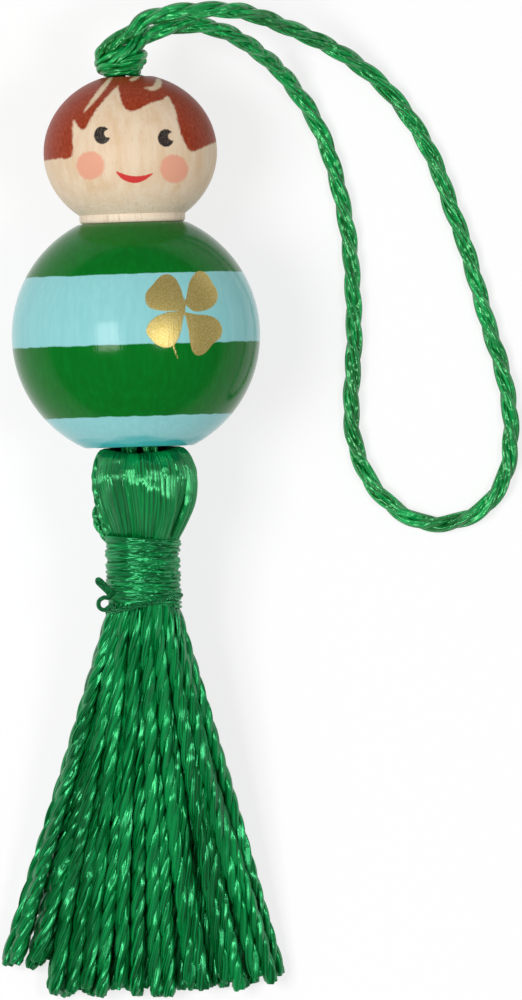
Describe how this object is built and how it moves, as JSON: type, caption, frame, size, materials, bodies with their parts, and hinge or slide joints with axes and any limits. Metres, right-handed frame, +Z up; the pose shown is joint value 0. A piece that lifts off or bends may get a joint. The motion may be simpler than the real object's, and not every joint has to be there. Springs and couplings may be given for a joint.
{
  "type": "lucky charm doll",
  "caption": "Small hanging charm: a wooden bead head and body strung on a doubled cord with a knotted hanging loop and a silky tassel below.",
  "frame": {"origin": "on the table under the middle of the doll as it lies on its back, the hanging loop left out", "axes": "+Y from the tassel to the head along the doll's axis, +Z up from the table towards the face side, +X across the doll towards the hanging loop"},
  "size_m": [0.0537, 0.0997, 0.0249],
  "materials": {
    "natural_wood": "thin clear lacquer, painted hair and face",
    "painted_wood": "gloss lacquer in green and light blue stripes with a gold clover",
    "twisted_cord": "twisted satin cord",
    "tassel_yarn": "twisted viscose yarn"
  },
  "bodies": {
    "cord": {"core_cord": "twisted_cord", "top_knot": "twisted_cord", "hanging_loop": "twisted_cord"},
    "head": {"head_bead": "natural_wood"},
    "body": {"body_bead": "painted_wood"},
    "tassel": {"tassel_bulb": "tassel_yarn", "neck_wrap": "tassel_yarn", "wrap_tail": "tassel_yarn", "skirt_strand_01": "tassel_yarn", "skirt_strand_02": "tassel_yarn", "skirt_strand_03": "tassel_yarn", "skirt_strand_04": "tassel_yarn", "skirt_strand_05": "tassel_yarn", "skirt_strand_06": "tassel_yarn", "skirt_strand_07": "tassel_yarn", "skirt_strand_08": "tassel_yarn", "skirt_strand_09": "tassel_yarn", "skirt_strand_10": "tassel_yarn", "skirt_strand_11": "tassel_yarn", "skirt_strand_12": "tassel_yarn", "skirt_strand_13": "tassel_yarn", "skirt_strand_14": "tassel_yarn", "skirt_strand_15": "tassel_yarn", "skirt_strand_16": "tassel_yarn", "skirt_strand_17": "tassel_yarn", "skirt_strand_18": "tassel_yarn", "skirt_strand_19": "tassel_yarn", "skirt_strand_20": "tassel_yarn", "skirt_strand_21": "tassel_yarn", "skirt_strand_22": "tassel_yarn", "skirt_strand_23": "tassel_yarn", "skirt_strand_24": "tassel_yarn", "skirt_strand_25": "tassel_yarn", "skirt_strand_26": "tassel_yarn", "skirt_strand_27": "tassel_yarn", "skirt_strand_28": "tassel_yarn", "skirt_strand_29": "tassel_yarn", "skirt_strand_30": "tassel_yarn", "skirt_strand_31": "tassel_yarn", "skirt_strand_32": "tassel_yarn", "skirt_strand_33": "tassel_yarn", "skirt_strand_34": "tassel_yarn", "skirt_strand_35": "tassel_yarn", "skirt_strand_36": "tassel_yarn"}
  },
  "joints": [
    {"name": "head_turn", "type": "hinge", "parent": "cord", "child": "head", "pos_m": [0.00126, 0.03611, 0.01243], "axis": [0, 1, 0], "continuous": true},
    {"name": "body_turn", "type": "hinge", "parent": "cord", "child": "body", "pos_m": [0.00126, 0.01781, 0.01243], "axis": [0, 1, 0], "continuous": true},
    {"name": "tassel_swing", "type": "hinge", "parent": "cord", "child": "tassel", "pos_m": [0.00126, 0.00392, 0.01243], "axis": [0, 0, 1], "range_deg": [-8, 8]}
  ]
}
